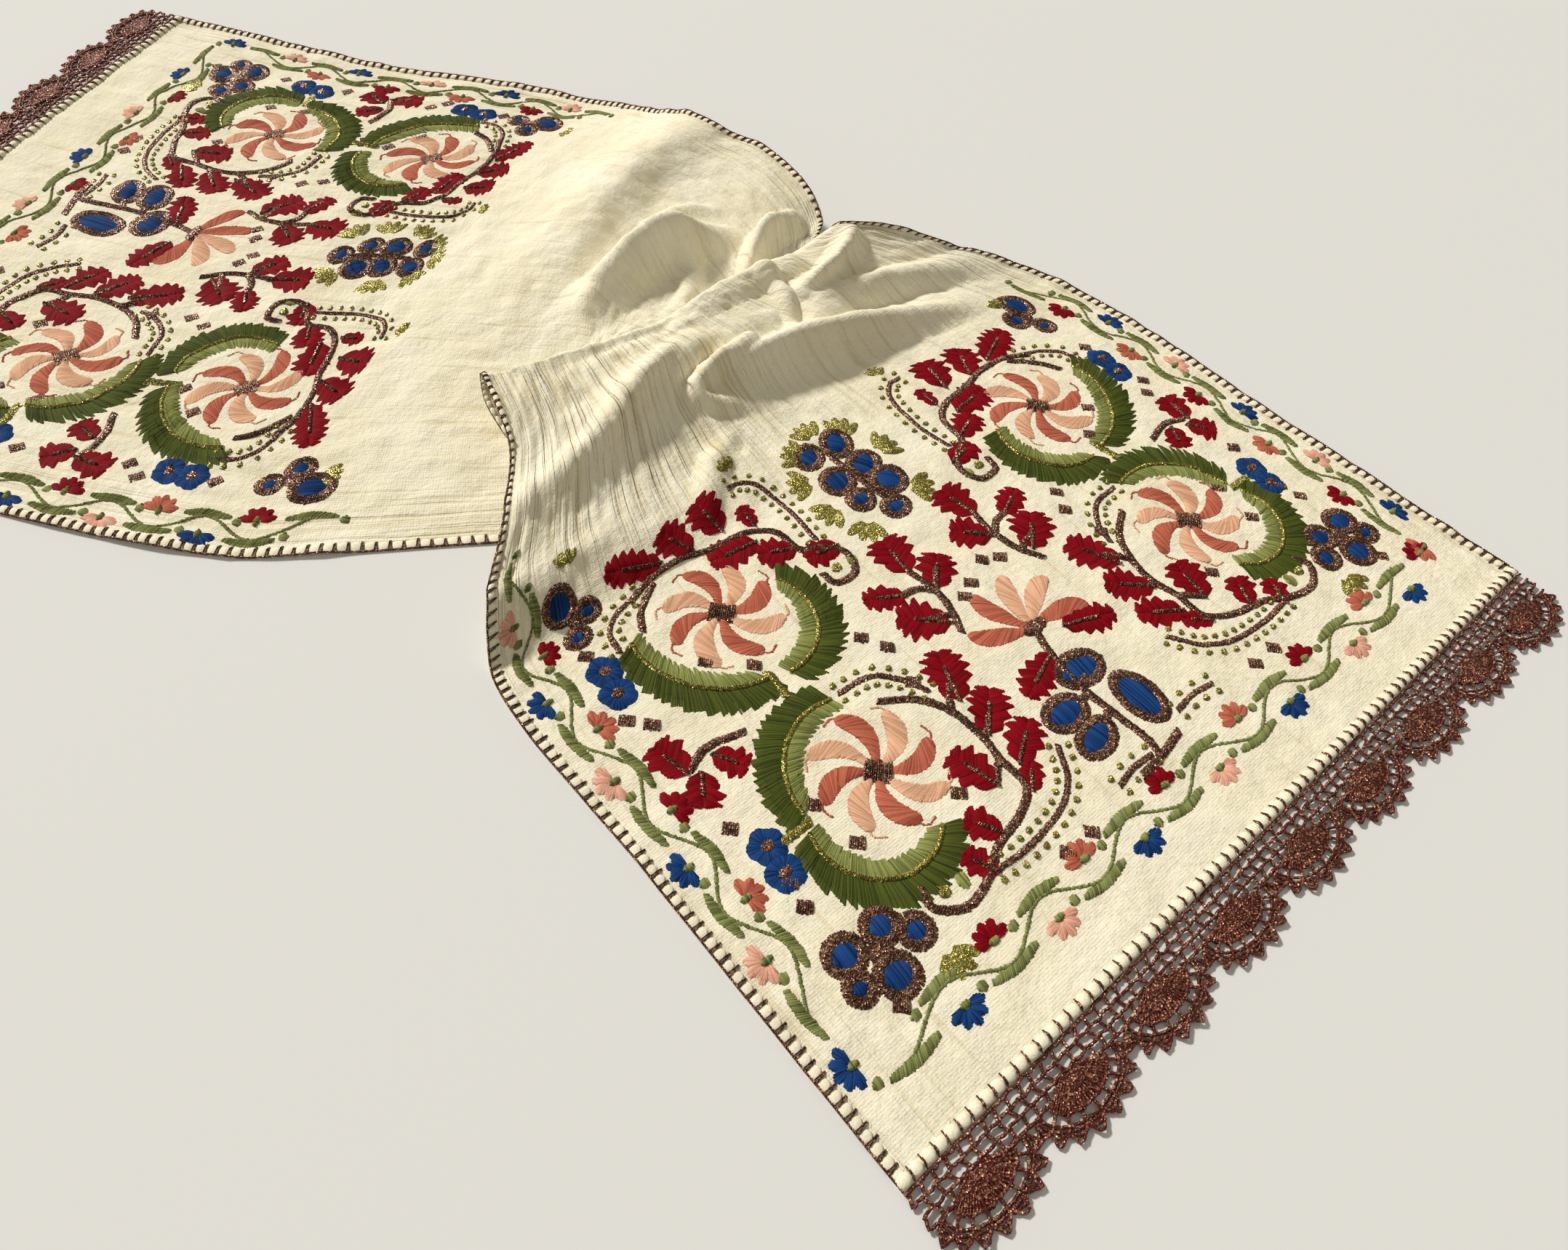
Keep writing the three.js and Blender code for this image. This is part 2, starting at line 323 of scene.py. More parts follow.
def crinkled_cotton():
    """Cream gauze: a plain weave, crinkles along the length with painted shade in their grooves and
    furrows, and faint tone changes.
    """
    material, nodes, links, shader = new_material("crinkled_cotton")
    uv = nodes.new("ShaderNodeUVMap")
    uv.uv_map = "cut_cloth"
    stretch = nodes.new("ShaderNodeMapping")
    stretch.inputs["Scale"].default_value = (1.0, 0.035, 1.0)
    links.new(uv.outputs["UV"], stretch.inputs["Vector"])
    crinkle = add(nodes, "ShaderNodeTexNoise", scale=250.0, detail=2.0, roughness=0.5)
    links.new(stretch.outputs["Vector"], crinkle.inputs["Vector"])
    groove = ramp_between(nodes, links, crinkle.outputs["Fac"], (0, 0, 0), (1, 1, 1), 0.30, 0.50)
    warp = add(nodes, "ShaderNodeTexWave", scale=260.0, distortion=1.2, detail=2.0)
    weft = add(nodes, "ShaderNodeTexWave", scale=260.0, distortion=1.2, detail=2.0, bands_direction="Y")
    for wave in (warp, weft):
        links.new(uv.outputs["UV"], wave.inputs["Vector"])
    weave = add(nodes, "ShaderNodeMath", operation="ADD")
    links.new(warp.outputs["Fac"], weave.inputs[0])
    links.new(weft.outputs["Fac"], weave.inputs[1])
    cloud = add(nodes, "ShaderNodeTexNoise", scale=22.0, detail=4.0)
    links.new(uv.outputs["UV"], cloud.inputs["Vector"])
    warm_cream, pale_cream = (0.85, 0.78, 0.58), (0.91, 0.86, 0.69)
    tone = ramp_between(nodes, links, cloud.outputs["Fac"], warm_cream, pale_cream, 0.3, 0.7)
    # Painted shade: the cream darkens where the crinkle noise is low, along the bottoms of the bump's
    # crinkle grooves.
    groove_shade_tint, white = (0.88, 0.84, 0.76), (1.0, 1.0, 1.0)
    groove_shade = ramp_between(nodes, links, crinkle.outputs["Fac"], groove_shade_tint, white, 0.30, 0.40)
    shade = add(nodes, "ShaderNodeMixRGB", blend_type="MULTIPLY", fac=0.8)
    links.new(tone, shade.inputs["Color1"])
    links.new(groove_shade, shade.inputs["Color2"])
    # Painted shade in the furrows: the cream darkens where the mesh's furrow attribute is high.
    furrow = nodes.new("ShaderNodeAttribute")
    furrow.attribute_name = "furrow"
    furrow_shade_tint = (0.84, 0.79, 0.68)
    painted_furrow_shade = ramp_between(nodes, links, furrow.outputs["Fac"], white, furrow_shade_tint)
    shaded = add(nodes, "ShaderNodeMixRGB", blend_type="MULTIPLY", fac=1.0)
    links.new(shade.outputs["Color"], shaded.inputs["Color1"])
    links.new(painted_furrow_shade, shaded.inputs["Color2"])
    links.new(shaded.outputs["Color"], shader.inputs["Base Color"])
    weave_bump = add(nodes, "ShaderNodeBump", strength=0.14, distance=0.0004)
    links.new(weave.outputs[0], weave_bump.inputs["Height"])
    wrinkle = add(nodes, "ShaderNodeTexNoise", scale=190.0, detail=5.0, roughness=0.65)
    links.new(uv.outputs["UV"], wrinkle.inputs["Vector"])
    wrinkle_bump = add(nodes, "ShaderNodeBump", strength=0.6, distance=0.0018)
    links.new(wrinkle.outputs["Fac"], wrinkle_bump.inputs["Height"])
    links.new(weave_bump.outputs["Normal"], wrinkle_bump.inputs["Normal"])
    strength = nodes.new("ShaderNodeAttribute")
    strength.attribute_name = "crinkle"
    crinkle_bump = add(nodes, "ShaderNodeBump", distance=0.0011)
    links.new(strength.outputs["Fac"], crinkle_bump.inputs["Strength"])
    links.new(groove, crinkle_bump.inputs["Height"])
    links.new(wrinkle_bump.outputs["Normal"], crinkle_bump.inputs["Normal"])
    links.new(crinkle_bump.outputs["Normal"], shader.inputs["Normal"])
    shader.inputs["Roughness"].default_value = 0.88
    shader.inputs["Specular IOR Level"].default_value = 0.1
    return material


def floss(name, dark, light):
    """Twisted cotton floss: each stitch has its own tone, with a fine fibre grain."""
    material, nodes, links, shader = new_material(name)
    tone = nodes.new("ShaderNodeAttribute")
    tone.attribute_name = "tone"
    place = nodes.new("ShaderNodeTexCoord")
    fibre = add(nodes, "ShaderNodeTexNoise", scale=1900.0, detail=2.0)
    links.new(place.outputs["Object"], fibre.inputs["Vector"])
    total = add(nodes, "ShaderNodeMath", operation="MULTIPLY_ADD")
    total.inputs[1].default_value = 0.5
    links.new(fibre.outputs["Fac"], total.inputs[0])
    links.new(tone.outputs["Fac"], total.inputs[2])
    colour = ramp_between(nodes, links, total.outputs[0], dark, light, 0.15, 1.25)
    links.new(colour, shader.inputs["Base Color"])
    bump = add(nodes, "ShaderNodeBump", strength=0.3, distance=0.0003)
    links.new(fibre.outputs["Fac"], bump.inputs["Height"])
    links.new(bump.outputs["Normal"], shader.inputs["Normal"])
    shader.inputs["Roughness"].default_value = 0.7
    shader.inputs["Specular IOR Level"].default_value = 0.06
    return material


def metal_thread(name, body, glint):
    """Foil-wrapped thread: a dark body with small bumped facets, a few of them given a painted glint in
    their colour.
    """
    material, nodes, links, shader = new_material(name)
    place = nodes.new("ShaderNodeTexCoord")
    facets = add(nodes, "ShaderNodeTexVoronoi", scale=1200.0)
    links.new(place.outputs["Object"], facets.inputs["Vector"])
    # Painted glints: the facets with the highest random values take the bright glint colour.
    colour = ramp_between(nodes, links, facets.outputs["Color"], body, glint, 0.60, 0.95)
    links.new(colour, shader.inputs["Base Color"])
    bump = add(nodes, "ShaderNodeBump", strength=0.9, distance=0.0005)
    links.new(facets.outputs["Distance"], bump.inputs["Height"])
    links.new(bump.outputs["Normal"], shader.inputs["Normal"])
    shader.inputs["Metallic"].default_value = 0.5
    shader.inputs["Roughness"].default_value = 0.34
    return material


THREADS = {
    "crimson": floss("crimson_floss", (0.125, 0.001, 0.003), (0.25, 0.003, 0.010)),
    "coral": floss("coral_floss", (0.30, 0.060, 0.035), (0.55, 0.16, 0.095)),
    "peach": floss("peach_floss", (0.55, 0.27, 0.15), (0.80, 0.48, 0.31)),
    "pink": floss("pink_floss", (0.58, 0.24, 0.16), (0.82, 0.46, 0.34)),
    "blue": floss("blue_floss", (0.003, 0.015, 0.065), (0.013, 0.062, 0.22)),
    "forest": floss("forest_green_floss", (0.026, 0.036, 0.006), (0.085, 0.105, 0.018)),
    "leaf_green": floss("leaf_green_floss", (0.10, 0.125, 0.028), (0.30, 0.32, 0.10)),
    "sage": floss("sage_green_floss", (0.085, 0.10, 0.03), (0.25, 0.27, 0.095)),
    # Metal threads, here and the crochet thread below: a body colour, then a painted glint colour.
    "gold": metal_thread("gold_green_metal_thread", (0.19, 0.16, 0.018), (0.90, 0.80, 0.30)),
    "bronze": metal_thread("bronze_metal_thread", (0.085, 0.030, 0.016), (0.62, 0.38, 0.22)),
}
CROCHET_THREAD = metal_thread("copper_crochet_thread", (0.105, 0.023, 0.013), (0.62, 0.30, 0.19))

# One panel's stitches by thread: start p, q, end p, q, width, height.
# p runs right from the panel's middle and q runs up the cloth from its hem.
sewn = {thread: [] for thread in THREADS}


def sew(thread, start, end, width, height):
    count = len(start)
    sizes = np.column_stack([np.full(count, width), np.full(count, height)])
    sewn[thread].append(np.column_stack([start, end, sizes]))


def curve_through(points, step):
    """A smooth curve through given points, as evenly spaced points and directions."""
    points = np.array(points, float)
    padded = np.concatenate([2 * points[:1] - points[1:2], points, 2 * points[-1:] - points[-2:-1]])
    u = np.linspace(0, 1, 24, endpoint=False)[:, None]
    runs = []
    for a, b, c, d in zip(padded, padded[1:], padded[2:], padded[3:]):
        runs.append(b + 0.5 * u * (c - a + u * (2 * a - 5 * b + 4 * c - d + u * (3 * (b - c) + d - a))))
    line = np.concatenate([*runs, points[-1:]])
    length = np.concatenate([[0], np.cumsum(np.linalg.norm(np.diff(line, axis=0), axis=1))])
    at = np.linspace(0, length[-1], max(2, int(length[-1] / step)))
    even = np.column_stack([np.interp(at, length, line[:, k]) for k in range(2)])
    ahead = np.gradient(even, axis=0)
    return even, ahead / np.linalg.norm(ahead, axis=1, keepdims=True)


def turned_left(ahead):
    return np.stack([-ahead[..., 1], ahead[..., 0]], -1)


def rope(points, thread, width, height, tapered=False):
    """A couched stem of short slanting stitches."""
    line, ahead = curve_through(points, METAL_PITCH)
    if tapered:
        width = width * np.sqrt(np.sin(np.linspace(0.25, math.pi - 0.25, len(line))))[:, None]
    half = turned_left(ahead) * width / 2 + ahead * 0.25 * width
    sew(thread, line - half, line + half, METAL_WIDTH, height)


def leaf(base, tip, half_width):
    """A serrated crimson leaf: slanting satin stitches from a bronze midrib to a toothed edge."""
    base, tip = np.array(base, float), np.array(tip, float)
    length = np.linalg.norm(tip - base)
    ahead = (tip - base) / length
    u = np.arange(0.02, 0.95, FLOSS_PITCH / length)
    teeth = max(3, round(length / 5.6))
    saw = 1 - (u * teeth) % 1
    outline = np.sin(np.pi * np.clip(u * 0.93 + 0.07, 0, 1) ** 0.85) ** 0.65
    reach = 1.2 * half_width * outline * (0.62 + 0.43 * saw)
    start = base + ahead * (u * length)[:, None]
    for side in (-1, 1):
        end = start + (side * turned_left(ahead) + 0.55 * ahead) * reach[:, None]
        sew("crimson", start, end, LEAF_STITCH_WIDTH, 0.8)
    rope([base, base + 0.65 * (tip - base)], "bronze", 2.3, 1.6)


def petal(centre, angle, inner, outer, half_width, swirl, thread):
    """A swirling petal: satin stitches laid at a slant across a curved spine."""
    u = np.linspace(0, 1, int((outer - inner) * 1.5 / FLOSS_PITCH))
    radius = inner + (outer - inner) * u
    turn = angle + swirl * u**1.6
    spine = np.array(centre) + np.column_stack([radius * np.cos(turn), radius * np.sin(turn)])
    ahead = np.gradient(spine, axis=0)
    ahead /= np.linalg.norm(ahead, axis=1, keepdims=True)
    rounding = np.sqrt(np.maximum(0.02, 1 - np.maximum(0, (u - 0.70) / 0.31) ** 2))
    reach = half_width * (0.34 + 0.66 * smoothstep(0, 0.66, u)) * rounding
    half = (turned_left(ahead) + 0.8 * ahead) * reach[:, None]
    sew(thread, spine - half, spine + half, FLOSS_WIDTH, 0.8)


def oval_patch(centre, half_length, half_width, thread, height):
    """A small oval of parallel stitches."""
    u = np.arange(-0.95, 0.96, FLOSS_PITCH / half_length)
    across = half_width * np.sqrt(1 - u**2)
    start = np.array(centre) + np.column_stack([half_length * u, -across])
    end = np.array(centre) + np.column_stack([half_length * u + 0.5, across])
    sew(thread, start, end, FLOSS_WIDTH, height)


def round_patch(centre, radius, thread, height):
    oval_patch(centre, radius, radius, thread, height)


# A pinwheel's sizes. The hook at a petal's tip runs through shares of the radius and turns past the tip.
PINWHEEL_RADIUS = 29.5
PINWHEEL_PETALS = 8
PINWHEEL_HEART = 5.0
PINWHEEL_EYE = 5.6
PETAL_SWIRL = 0.46
PETAL_HOOK = ((0.96, 0.0), (1.06, 0.10), (1.04, 0.26))


def pinwheel(centre, turn):
    """A round flower of swirling petals, coral and peach by turns, with a bronze eye."""
    for k in range(PINWHEEL_PETALS):
        thread = "coral" if k % 2 else "peach"
        angle = turn + math.tau * k / PINWHEEL_PETALS
        reach = PINWHEEL_RADIUS * rng.uniform(0.93, 1.05)
        half_width = rng.uniform(4.3, 5.2)
        petal(centre, angle, PINWHEEL_HEART, reach, half_width, PETAL_SWIRL, thread)
        hook = []
        for share, past in PETAL_HOOK:
            away, bearing = PINWHEEL_RADIUS * share, angle + PETAL_SWIRL + past
            hook.append((centre[0] + away * math.cos(bearing), centre[1] + away * math.sin(bearing)))
        rope(hook, thread, 0.9, 0.5)
    diamond(centre, PINWHEEL_EYE, 1.7)


# A crescent's two bands: thread, depth and which side of the gold line.
CRESCENT_BANDS = (("forest", 14.0, 1), ("leaf_green", 9.0, -1))
CRESCENT_TEETH = 15


def crescent(points):
    """A serrated green band on the arc through three points: dark outside, light inside, gold between."""
    start, middle, end = (complex(*point) for point in points)
    ratio = (end - start) / (middle - start)
    centre = start + (middle - start) * (ratio - abs(ratio) ** 2) / (2j * ratio.imag)
    radius = abs(start - centre)
    first, _, last = np.unwrap(np.angle(np.array([start, middle, end]) - centre))

    def ring(u, out=0.0, slant=0.0):
        turn = first + (last - first) * u + slant
        reach = radius + out
        return np.column_stack([centre.real + reach * np.cos(turn), centre.imag + reach * np.sin(turn)])

    for thread, depth, way in CRESCENT_BANDS:
        u = np.linspace(0, 1, int((radius + 8 * way) * abs(last - first) / (0.7 * FLOSS_PITCH)))
        saw = (u * CRESCENT_TEETH + 0.4 * np.sin(19 * u)) % 1
        taper = np.sin(np.pi * (0.17 + 0.66 * u)) ** 0.5
        reach = depth * taper * (0.80 + 0.24 * saw)
        sew(thread, ring(u), ring(u, way * reach, 0.11 * way), 1.0, 0.9)
    rope(ring(np.linspace(0, 1, 9)), "gold", 2.4, 1.6)


OVAL_OUTLINE = 2.0


def blue_oval(centre, length, width, degrees=0):
    """A blue satin oval with a bronze outline."""
    turn = math.radians(degrees)
    ahead = np.array([math.cos(turn), math.sin(turn)])
    left = turned_left(ahead)
    u = np.arange(-0.96, 0.97, 2 * FLOSS_PITCH / length)
    middle = np.array(centre) + ahead * (u * length / 2)[:, None]
    half = left * (np.sqrt(1 - u**2) * width / 2)[:, None] + 0.3 * ahead
    sew("blue", middle - half, middle + half, FLOSS_WIDTH, 1.1)
    outline = []
    for t in np.linspace(0, math.tau, 13):
        lengthwise = ahead * math.cos(t) * (length / 2 + OVAL_OUTLINE)
        outline.append(np.array(centre) + lengthwise + left * math.sin(t) * (width / 2 + OVAL_OUTLINE))
    rope(outline, "bronze", 5.0, 1.2)


DOT_PITCH = 5.6
DOT_OFFSET = 4.6
DOT_RADIUS = 1.5


def dotted_curl(points):
    """A bronze line with gold-green dots on both sides."""
    rope(points, "bronze", 2.8, 1.0)
    line, ahead = curve_through(points, DOT_PITCH)
    for side in (-1, 1):
        for spot in line + side * DOT_OFFSET * turned_left(ahead):
            round_patch(spot, DOT_RADIUS, "gold", 1.1)


def diamond(centre, half=2.9, height=1.1):
    """A square patch that stands on its corner."""
    u = np.linspace(-half, half, round(2 * half / METAL_PITCH))[:, None]
    slope, fall = half * np.array([0.71, 0.71]), np.array([0.71, -0.71])
    sew("bronze", centre + u * fall - slope, centre + u * fall + slope, METAL_WIDTH, height)


def fan(centre, facing, reach, spread, thread, teeth=5, cut=0.34):
    """A small toothed fan of stitches, for border flowers and gold tufts."""
    u = np.linspace(-1, 1, int(1.25 * reach * spread / FLOSS_PITCH))
    turn = facing + u * spread / 2
    length = reach * (1.04 - cut + cut * np.abs(np.sin(math.pi * teeth * (u + 1) / 2)))
    ray = np.column_stack([np.cos(turn), np.sin(turn)])
    start = np.array(centre) + ray * 0.22 * reach
    sew(thread, start, np.array(centre) + ray * length[:, None], FLOSS_WIDTH, 0.9)


def blossom(centre, facing, thread):
    """A border flower: a toothed fan on a small green cup."""
    fan(centre, facing, 8.6, 3.3, thread)
    oval_patch(centre, 2.4, 1.6, "sage", 1.3)


def double_flower(centre):
    """Two blue flowers that touch, each with a bronze eye."""
    for along in (-6.5, 6.5):
        heart = (centre[0] + 0.12 * along, centre[1] + along)
        fan(heart, math.pi / 2, 8.4, math.tau, "blue", 5, 0.14)
        round_patch(heart, 3.0, "bronze", 1.5)


def vine(start, heading, length, period, outer, inner, bare=()):
    """A border run: thick strokes on alternate sides of a thin stem, and a flower across from each."""
    start = np.array(start, float)
    ahead = np.array([math.cos(heading), math.sin(heading)])
    left = turned_left(ahead)
    half = period / 2

    def at(along, off):
        return start + ahead * along + left * off

    stem = []
    for k in range(int(length / half) + 1):
        side = 1 if k % 2 else -1
        along = k * half
        stem.append(at(along, side * 5.5))
        if along + 0.55 * half > length:
            continue
        reach = 0.45 * half
        stroke = [at(along - reach, side * 6.2), at(along, side * 7.4), at(along + reach, side * 6.2)]
        rope(stroke, "sage", 4.7, 1.0, tapered=True)
        round_patch(at(along - 0.62 * half, side * 4.2), 2.2, "sage", 0.9)
        thread = (outer if side < 0 else inner)[(k // 2) % 2]
        facing = heading + side * math.pi / 2
        if k not in bare:
            blossom(at(along + half, side * 5.0), facing, thread)
    rope(stem, "sage", 1.3, 0.7)


# Motifs of the left half as p and q, repeated on the right half the other way round.
LEFT_SHIFT = (-5, -7)
UPPER_FLOWER = (-114, 234)
LOWER_FLOWER = (-114, 129)
CRESCENTS = [
    [(-121, 193), (-149, 209), (-158, 244)],
    [(-110, 190), (-82, 202), (-80, 234)],
    [(-153, 133), (-139, 161), (-106, 168)],
    [(-157, 125), (-149, 94), (-110, 94)],
]
# Each flower's crescents are tied by a gold knot, at this bearing and distance from its centre.
CRESCENT_TIES = ((UPPER_FLOWER, 1.5 * math.pi - 0.12), (LOWER_FLOWER, math.pi))
TIE_DISTANCE = 47
# Base, tip and half width of each leaf.
LEAVES = [
    (-122, 277, -153, 289, 8.5), (-104, 274, -116, 293, 9.5), (-84, 275, -90, 297, 10.5),
    (-68, 268, -68, 282, 5), (-74, 258, -101, 262, 9), (-60, 243, -79, 251, 8), (-42, 232, -61, 235, 7.5),
    (-60, 132, -48, 158, 10), (-62, 112, -43, 129, 9), (-78, 92, -84, 116, 9), (-62, 94, -41, 107, 8),
    (-93, 76, -101, 91, 7), (-68, 81, -57, 92, 5), (-108, 65, -113, 80, 6),
    (-25, 199, -22, 222, 10.5), (-21, 184, -6, 199, 9), (-37, 190, -56, 199, 7),
    (-31, 165, -50, 183, 10.5), (-179, 177, -182, 196, 8.5), (-174, 174, -184, 161, 8),
    (-165, 178, -157, 164, 7), (-6, 124, -34, 114, 7.5),
]
STEMS = [
    [(-146, 266), (-131, 272), (-112, 273), (-96, 269), (-74, 266), (-62, 257), (-59, 241), (-49, 235),
     (-42, 226), (-46, 215), (-58, 215), (-60, 223)],
    [(-150, 247), (-144, 258), (-131, 269)],
    [(-137, 80), (-139, 71), (-128, 63), (-112, 66), (-99, 73), (-81, 77), (-68, 85), (-67, 101),
     (-65, 116), (-68, 132), (-76, 145), (-90, 154)],
    [(-31, 158), (-25, 170), (-23, 185), (-25, 199)],
    [(-23, 183), (-30, 189), (-39, 191)],
    [(-23, 183), (-19, 187), (-14, 192)],
    [(-26, 168), (-32, 171), (-40, 173)],
    [(-177, 178), (-164, 182), (-147, 178)],
    [(-67, 101), (-72, 98), (-78, 93)],
    [(-67, 130), (-63, 136), (-58, 141)],
    [(-65, 112), (-60, 115), (-56, 118)],
]
CURLS = [
    [(-165, 243), (-163, 256), (-154, 264), (-140, 269)],
    [(-49, 241), (-47, 266), (-51, 286), (-60, 295), (-68, 295)],
    [(-101, 168), (-84, 166), (-73, 156), (-68, 144)],
    [(-108, 66), (-88, 65), (-65, 68), (-51, 76), (-42, 89)],
    [(-36, 59), (-24, 61), (-12, 60)],
]
# Place, length and width of the ovals in the two outer clusters, and place and radius of their hearts.
LOWER_OVALS = [(-180, 79, 11, 10), (-161, 79, 9, 9), (-151, 69, 8, 8), (-169, 61, 12, 11), (-184, 66, 6, 6)]
LOWER_HEART = (-168, 71, 5.5)
UPPER_OVALS = [(-180, 285, 11, 15), (-167, 275, 7, 8), (-177, 263, 6, 6)]
UPPER_HEART = (-174, 274, 4.5)
RIGHT_RISE = 15
DIAMONDS = [
    (-179, 251), (-183, 212), (-176, 204), (-181, 147), (-177, 114), (-179, 103), (-147, 134), (-144, 110),
    (-94, 100), (-121, 202), (-66, 173), (-72, 184), (-70, 152), (-176, 52), (-63, 53), (-78, 53),
    (-137, 216), (-5, 176), (-14, 172),
]
# Place, bearing and reach of the single gold tufts, then the ring of tufts about the middle cluster.
TUFTS = [(-147, 57, 4.71, 9), (-172, 302, 1.6, 7), (-60, 304, 1.9, 6)]
CLUSTER_CENTRE = (-8, 254)
CLUSTER_HALF = (22, 33)
TUFT_TURNS = (12, 52, 92, 128, 160, 195, 228, 322)
CURL_HEARTS = [(-131, 73), (-52, 222)]
DOUBLE_FLOWERS = [(-177, 232), (-175, 125)]
# The middle's half flower, with the bearing and thread of each petal, and its ovals:
# place, length, width and degrees.
HALF_FLOWER = (-6, 132)
HALF_FLOWER_PETALS = ((2.95, "coral"), (2.2, "coral"), (1.5, "peach"), (0.85, "peach"), (0.1, "coral"))
CENTRE_OVALS = [
    (-20, 280, 11, 10, 20), (0, 279, 14, 11, 45), (-18, 258, 12, 12, 0), (2, 259, 14, 11, 30),
    (-17, 241, 8, 8, 0), (5, 243, 13, 13, 40), (-5, 227, 9, 7, 0),
    (-7, 103, 20, 12, -5), (-31, 91, 17, 11, 0), (-30, 74, 17, 10, 15), (4, 76, 13, 24, 0),
]
CENTRE_STEMS = [
    [(-9, 272), (-8, 258), (-7, 244), (-5, 234)],
    [(-6, 132), (-11, 117), (-14, 91), (-12, 62), (-14, 50)],
    [(-29, 49), (-14, 50), (3, 53)],
    [(-14, 91), (-22, 92)],
    [(-13, 80), (-21, 77)],
    [(-14, 98), (-7, 99)],
]


def design_half(side):
    """The motifs of one half of a panel: side is 1 as listed and -1 the other way round."""
    def place(p, q):
        return (p + LEFT_SHIFT[0], q + LEFT_SHIFT[1]) if side > 0 else (-p, q)

    def about(angle):
        return angle if side > 0 else math.pi - angle

    pinwheel(place(*UPPER_FLOWER), 0.35 if side > 0 else 0.1)
    pinwheel(place(*LOWER_FLOWER), 0.2 if side > 0 else 0.5)
    for points in CRESCENTS:
        crescent([place(*point) for point in points])
    for centre, bearing in CRESCENT_TIES:
        out = np.array([math.cos(about(bearing)), math.sin(about(bearing))])
        tie = np.array(place(*centre)) + TIE_DISTANCE * out
        rope([tie - 8 * out, tie + 7 * out], "gold", 4.4, 1.3)
    for base_p, base_q, tip_p, tip_q, half_width in LEAVES:
        leaf(place(base_p, base_q), place(tip_p, tip_q), half_width)
    for points in STEMS:
        rope([place(*point) for point in points], "bronze", STEM_WIDTH, 1.3)
    for points in CURLS:
        dotted_curl([place(*point) for point in points])
    upper_rise = 0 if side > 0 else RIGHT_RISE
    for ovals, rise in ((LOWER_OVALS, 0), (UPPER_OVALS, upper_rise)):
        for p, q, length, width in ovals:
            blue_oval(place(p, q + rise), length, width)
    for (p, q, radius), rise in ((UPPER_HEART, upper_rise), (LOWER_HEART, 0)):
        round_patch(place(p, q + rise), radius, "bronze", 1.0)
    for p, q in CURL_HEARTS:
        round_patch(place(p, q), 2.6, "gold", 1.3)
        oval_patch(place(p + 9, q - 1), 2.4, 4.0, "leaf_green", 1.0)
    for spot in DIAMONDS:
        diamond(place(*spot))
    for p, q, facing, reach in TUFTS:
        fan(place(p, q), about(facing), 1.45 * reach, 2.0, "gold", 4)
    for spot in DOUBLE_FLOWERS:
        double_flower(place(*spot))


def design_centre():
    """The half flower, its stem with four ovals, and the cluster of seven ovals above."""
    for angle, thread in HALF_FLOWER_PETALS:
        petal(HALF_FLOWER, angle, 4, 31, 5.2, -0.35, thread)
    oval_patch(HALF_FLOWER, 7, 4, "bronze", 1.6)
    for p, q, length, width, degrees in CENTRE_OVALS:
        blue_oval((p, q), length, width, degrees)
    for points in CENTRE_STEMS:
        rope(points, "bronze", 4.0, 1.3)
    for degrees in TUFT_TURNS:
        turn = math.radians(degrees)
        away = np.array(CLUSTER_HALF) * (math.cos(turn), math.sin(turn))
        fan(np.array(CLUSTER_CENTRE) + away, turn, 15, 1.8, "gold", 4)


def design_border():
    """The flowering vine along the hem and up both sides."""
    vine((-190, 35), 0, 382, 55, ("blue", "pink"), ("crimson", "coral"))
    vine((-205, 305), -math.pi / 2, 262, 48, ("pink", "blue"), ("crimson", "coral"), bare=(9,))
    vine((205, 305), -math.pi / 2, 262, 48, ("crimson", "coral"), ("blue", "pink"))


for half_side in (1, -1):
    design_half(half_side)
design_centre()
design_border()


def small_shape(create, **sizes):
    """The vertex places and the faces of a small shape, to be copied many times into one mesh."""
    shape = bmesh.new()
    create(shape, **sizes)
    shape.verts.index_update()
    places = np.array([vert.co for vert in shape.verts])
    faces = [[vert.index for vert in face.verts] for face in shape.faces]
    shape.free()
    return places, faces


def joined_copies(name, places, faces):
    """One mesh of many copies of a small shape: places holds each copy's vertices in millimetres."""
    count, each = places.shape[:2]
    copied = [[k * each + i for i in face] for k in range(count) for face in faces]
    mesh = bpy.data.meshes.new(name)
    mesh.from_pydata((places.reshape(-1, 3) * MM).tolist(), [], copied)
    return mesh


# The stitch's own form, a strip of a few faces: lifts along it and over its width.
STITCH_SHARES = np.array([0.0, 0.3, 0.7, 1.0])
STITCH_RISE = np.array([0.1, 1.0, 1.0, 0.1])
STITCH_RAILS = np.array([1.0, 0.0, -1.0])
RAIL_RISE = np.array([0.35, 1.0, 0.35])
_, STITCH_FACES = small_shape(
    bmesh.ops.create_grid,
    x_segments=len(STITCH_RAILS) - 1,
    y_segments=len(STITCH_SHARES) - 1,
    size=1.0,
)


def stitch_mesh(name, rows):
    """Many stitches in one mesh, each a low rounded ridge that dips into the cloth at both ends.
    rows: start across, start along, end across, end along, width, height."""
    count = len(rows)
    each = len(STITCH_SHARES) * len(STITCH_RAILS)
    start, end = rows[:, 0:2], rows[:, 2:4]
    run = end - start
    left = turned_left(run / np.maximum(np.linalg.norm(run, axis=1, keepdims=True), 1e-6))
    middle = start[:, None] + run[:, None] * STITCH_SHARES[:, None]
    rails = left[:, None, None] * STITCH_RAILS[:, None] * rows[:, 4, None, None, None] / 2
    flat = middle[:, :, None] + rails
    lift = STITCH_LIFT + rows[:, 5, None, None] * STITCH_RISE[:, None] * RAIL_RISE
    places = on_cloth(flat[..., 0], flat[..., 1], lift).reshape(count, each, 3)
    mesh = joined_copies(name, places, STITCH_FACES)
    tone = mesh.attributes.new("tone", "FLOAT", "POINT")
    tone.data.foreach_set("value", np.repeat(rng.uniform(0, 1, count), each))
    return mesh


# The far design lies a little to the left and further from its hem.
FAR_SHIFT = (-4.0, -17.0)


